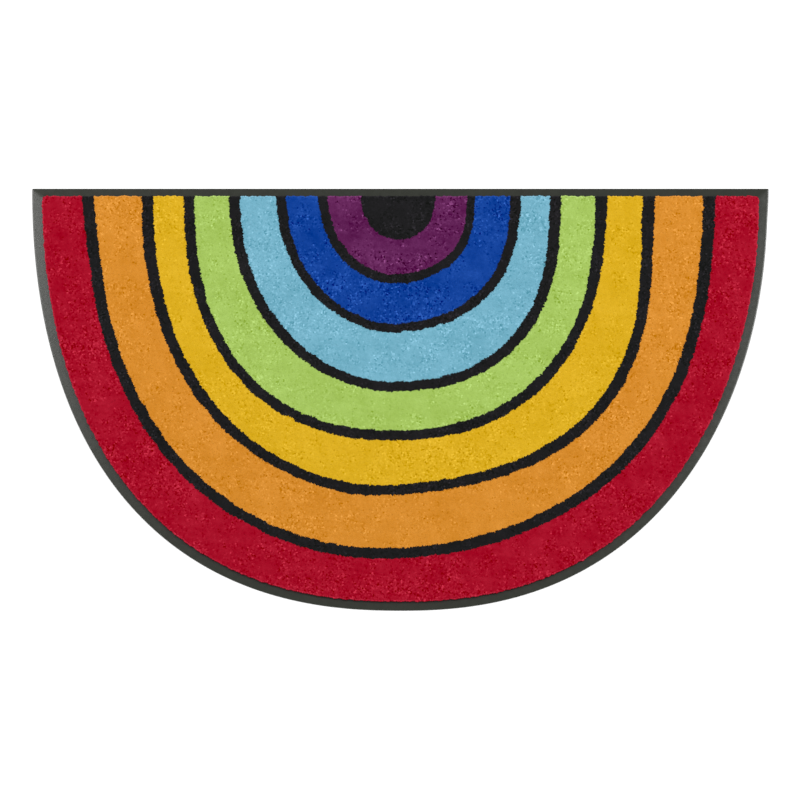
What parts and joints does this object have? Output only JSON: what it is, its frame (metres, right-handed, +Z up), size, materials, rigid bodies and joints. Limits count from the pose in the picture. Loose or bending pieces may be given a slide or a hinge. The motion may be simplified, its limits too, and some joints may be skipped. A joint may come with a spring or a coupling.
{
  "type": "washable rug",
  "caption": "Flat half-round floor mat with short cut pile in rainbow bands on a rubber sheet with a bare rubber border.",
  "frame": {"origin": "middle of the mat's bounding box, on the floor", "axes": "+X along the straight edge, +Y towards the straight edge, +Z up out of the pile"},
  "size_m": [0.8513, 0.5, 0.007],
  "materials": {
    "rubber": "satin pressed rubber, charcoal",
    "pile": "short cut pile, printed in bands of red, orange, yellow, green, light blue, blue and purple with black lines",
    "pile_red": "short cut pile",
    "pile_orange": "short cut pile",
    "pile_yellow": "short cut pile",
    "pile_green": "short cut pile",
    "pile_light_blue": "short cut pile",
    "pile_blue": "short cut pile",
    "pile_purple": "short cut pile",
    "pile_black": "short cut pile"
  },
  "bodies": {
    "root": {"rubber_backing": "rubber", "pile": "pile"}
  },
  "joints": []
}
